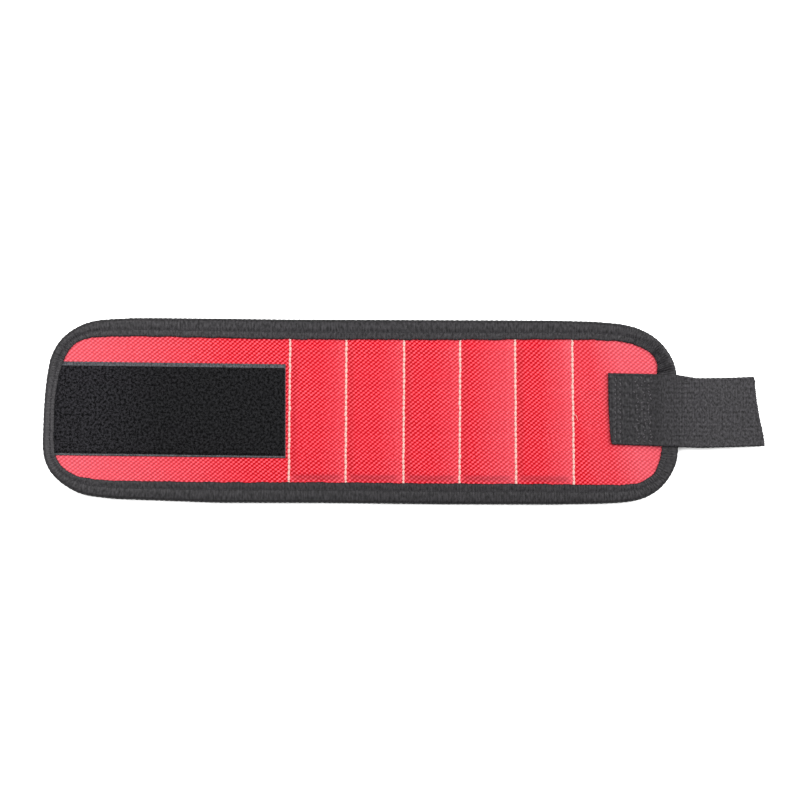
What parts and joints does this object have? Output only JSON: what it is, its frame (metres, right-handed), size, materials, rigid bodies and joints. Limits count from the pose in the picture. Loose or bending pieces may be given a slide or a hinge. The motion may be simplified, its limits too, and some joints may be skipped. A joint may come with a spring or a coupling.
{
  "type": "magnetic wristband",
  "caption": "Flat magnetic wristband of bound cloth with sewn magnet pockets, a loop pad at one end and a hook strap at the other",
  "frame": {"origin": "the middle of the underside of the whole band laid flat, strap included", "axes": "X runs along the band from the loop pad to the strap, Y across it, and Z out of the outer face"},
  "size_m": [0.35, 0.089, 0.0047],
  "materials": {
    "face_cloth": "coarse red ballistic weave with a coated back",
    "lining": "black spacer mesh",
    "binding": "charcoal woven tape",
    "loop_pile": "black brushed loop pile",
    "strap_tape": "woven back of hook tape",
    "magnet": "nickel plate on sintered magnets"
  },
  "bodies": {
    "loop_1": {"lining_loop_1": "lining", "face_cloth_loop_1": "face_cloth", "loop_pad_1": "loop_pile", "binding_loop_end": "binding"},
    "loop_2": {"lining_loop_2": "lining", "face_cloth_loop_2": "face_cloth", "loop_pad_2": "loop_pile", "binding_loop_2_upper": "binding", "binding_loop_2_lower": "binding"},
    "loop_3": {"lining_loop_3": "lining", "face_cloth_loop_3": "face_cloth", "loop_pad_3": "loop_pile", "binding_loop_3_upper": "binding", "binding_loop_3_lower": "binding"},
    "pocket_1": {"lining_pocket_1": "lining", "face_cloth_pocket_1": "face_cloth", "magnet_1_1": "magnet", "magnet_1_2": "magnet", "magnet_1_3": "magnet", "binding_pocket_1_upper": "binding", "binding_pocket_1_lower": "binding"},
    "pocket_2": {"lining_pocket_2": "lining", "face_cloth_pocket_2": "face_cloth", "magnet_2_1": "magnet", "magnet_2_2": "magnet", "magnet_2_3": "magnet", "binding_pocket_2_upper": "binding", "binding_pocket_2_lower": "binding"},
    "pocket_3": {"lining_pocket_3": "lining", "face_cloth_pocket_3": "face_cloth", "magnet_3_1": "magnet", "magnet_3_2": "magnet", "magnet_3_3": "magnet", "binding_pocket_3_upper": "binding", "binding_pocket_3_lower": "binding"},
    "pocket_4": {"lining_pocket_4": "lining", "face_cloth_pocket_4": "face_cloth", "magnet_4_1": "magnet", "magnet_4_2": "magnet", "magnet_4_3": "magnet", "binding_pocket_4_upper": "binding", "binding_pocket_4_lower": "binding"},
    "pocket_5": {"lining_pocket_5": "lining", "face_cloth_pocket_5": "face_cloth", "magnet_5_1": "magnet", "magnet_5_2": "magnet", "magnet_5_3": "magnet", "binding_pocket_5_upper": "binding", "binding_pocket_5_lower": "binding"},
    "strap_panel_1": {"lining_strap_1": "lining", "face_cloth_strap_1": "face_cloth", "binding_strap_1_upper": "binding", "binding_strap_1_lower": "binding"},
    "strap_panel_2": {"lining_strap_2": "lining", "face_cloth_strap_2": "face_cloth", "binding_strap_end": "binding", "strap_base": "strap_tape"},
    "strap_tail": {"strap_tail": "strap_tape"}
  },
  "joints": [
    {"name": "seam_3_bend", "type": "hinge", "parent": "pocket_3", "child": "pocket_2", "pos_m": [-0.0004, 0, 0], "axis": [0, -1, 0], "range_deg": [-10, 40]},
    {"name": "seam_2_bend", "type": "hinge", "parent": "pocket_2", "child": "pocket_1", "pos_m": [-0.028, 0, 0], "axis": [0, -1, 0], "range_deg": [-10, 41]},
    {"name": "seam_1_bend", "type": "hinge", "parent": "pocket_1", "child": "loop_3", "pos_m": [-0.0556, 0, 0], "axis": [0, -1, 0], "range_deg": [-10, 52]},
    {"name": "loop_panel_bend_2", "type": "hinge", "parent": "loop_3", "child": "loop_2", "pos_m": [-0.0954, 0, 0], "axis": [0, -1, 0], "range_deg": [-10, 61]},
    {"name": "loop_panel_bend_1", "type": "hinge", "parent": "loop_2", "child": "loop_1", "pos_m": [-0.1352, 0, 0], "axis": [0, -1, 0], "range_deg": [-10, 65]},
    {"name": "seam_4_bend", "type": "hinge", "parent": "pocket_3", "child": "pocket_4", "pos_m": [0.0272, 0, 0], "axis": [0, 1, 0], "range_deg": [-10, 38]},
    {"name": "seam_5_bend", "type": "hinge", "parent": "pocket_4", "child": "pocket_5", "pos_m": [0.0548, 0, 0], "axis": [0, 1, 0], "range_deg": [-10, 37]},
    {"name": "seam_6_bend", "type": "hinge", "parent": "pocket_5", "child": "strap_panel_1", "pos_m": [0.0824, 0, 0], "axis": [0, 1, 0], "range_deg": [-10, 30]},
    {"name": "strap_panel_bend", "type": "hinge", "parent": "strap_panel_1", "child": "strap_panel_2", "pos_m": [0.0986, 0, 0], "axis": [0, 1, 0], "range_deg": [-10, 34]},
    {"name": "strap_fold", "type": "hinge", "parent": "strap_panel_2", "child": "strap_tail", "pos_m": [0.1333, 0, 0.004], "axis": [0, 1, 0], "range_deg": [-110, 50]}
  ]
}
